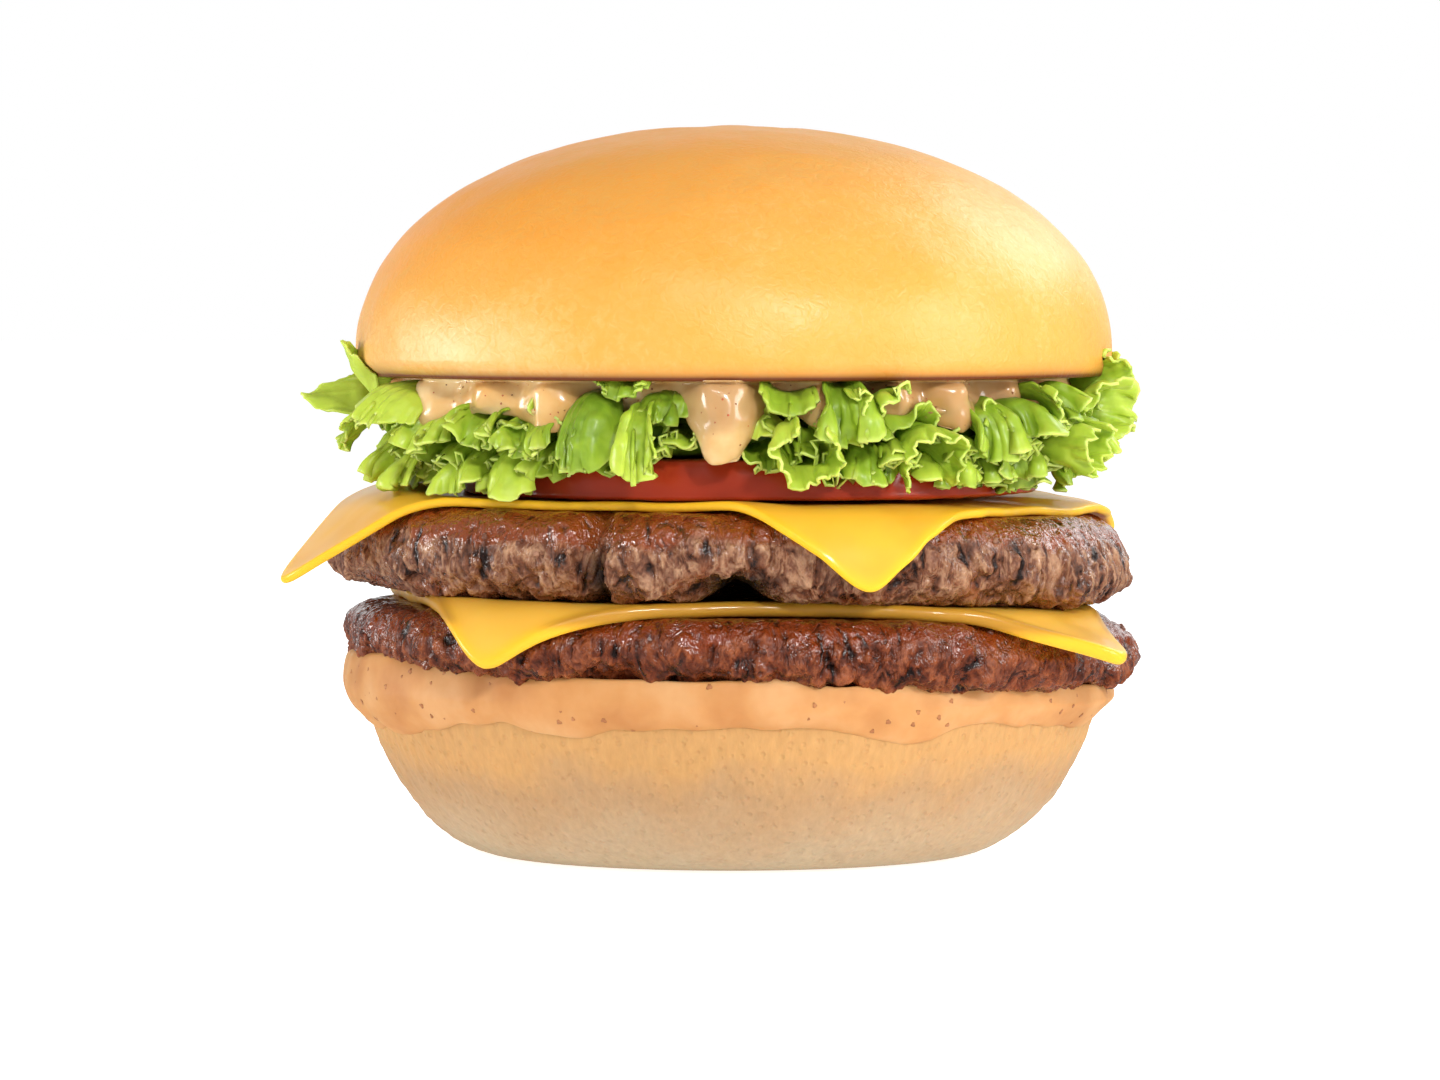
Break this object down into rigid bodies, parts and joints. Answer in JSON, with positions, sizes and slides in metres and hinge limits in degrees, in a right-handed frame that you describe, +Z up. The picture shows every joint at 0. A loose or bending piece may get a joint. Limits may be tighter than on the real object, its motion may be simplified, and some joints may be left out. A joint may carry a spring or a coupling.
{
  "type": "double cheeseburger",
  "caption": "Stacked hamburger in a soft round bun, with beef patties, melted cheese slices, tomato, frilly lettuce and pink sauce.",
  "frame": {"origin": "middle of the flat face that the heel of the bun rests on", "axes": "+Z up through the stack; the front, where two corners of cheese hang down, faces -Y"},
  "size_m": [0.1165, 0.1094, 0.0995],
  "materials": {
    "heel_bun": "matte baked bread, pale and finely porous",
    "lower_sauce": "moist peach-coloured burger sauce with fine specks",
    "lower_patty": "fried minced beef, dark and glazed with fat",
    "lower_cheese": "softened processed cheese, smooth and glossy",
    "upper_patty": "fried minced beef, grey-brown side and seared top",
    "upper_cheese": "softened processed cheese, smooth and glossy",
    "tomato_slice": "wet cut tomato",
    "lettuce_leaf": "crisp frilly green lettuce",
    "upper_sauce": "glossy pale pink burger sauce with fine specks",
    "crown_bun": "smooth satin baked crust, golden"
  },
  "bodies": {
    "root": {"heel_bun": "heel_bun", "lower_sauce": "lower_sauce", "lower_patty": "lower_patty", "lower_cheese": "lower_cheese", "upper_patty": "upper_patty", "upper_cheese": "upper_cheese", "tomato_slice": "tomato_slice", "lettuce_leaf": "lettuce_leaf", "upper_sauce": "upper_sauce", "crown_bun": "crown_bun"}
  },
  "joints": []
}
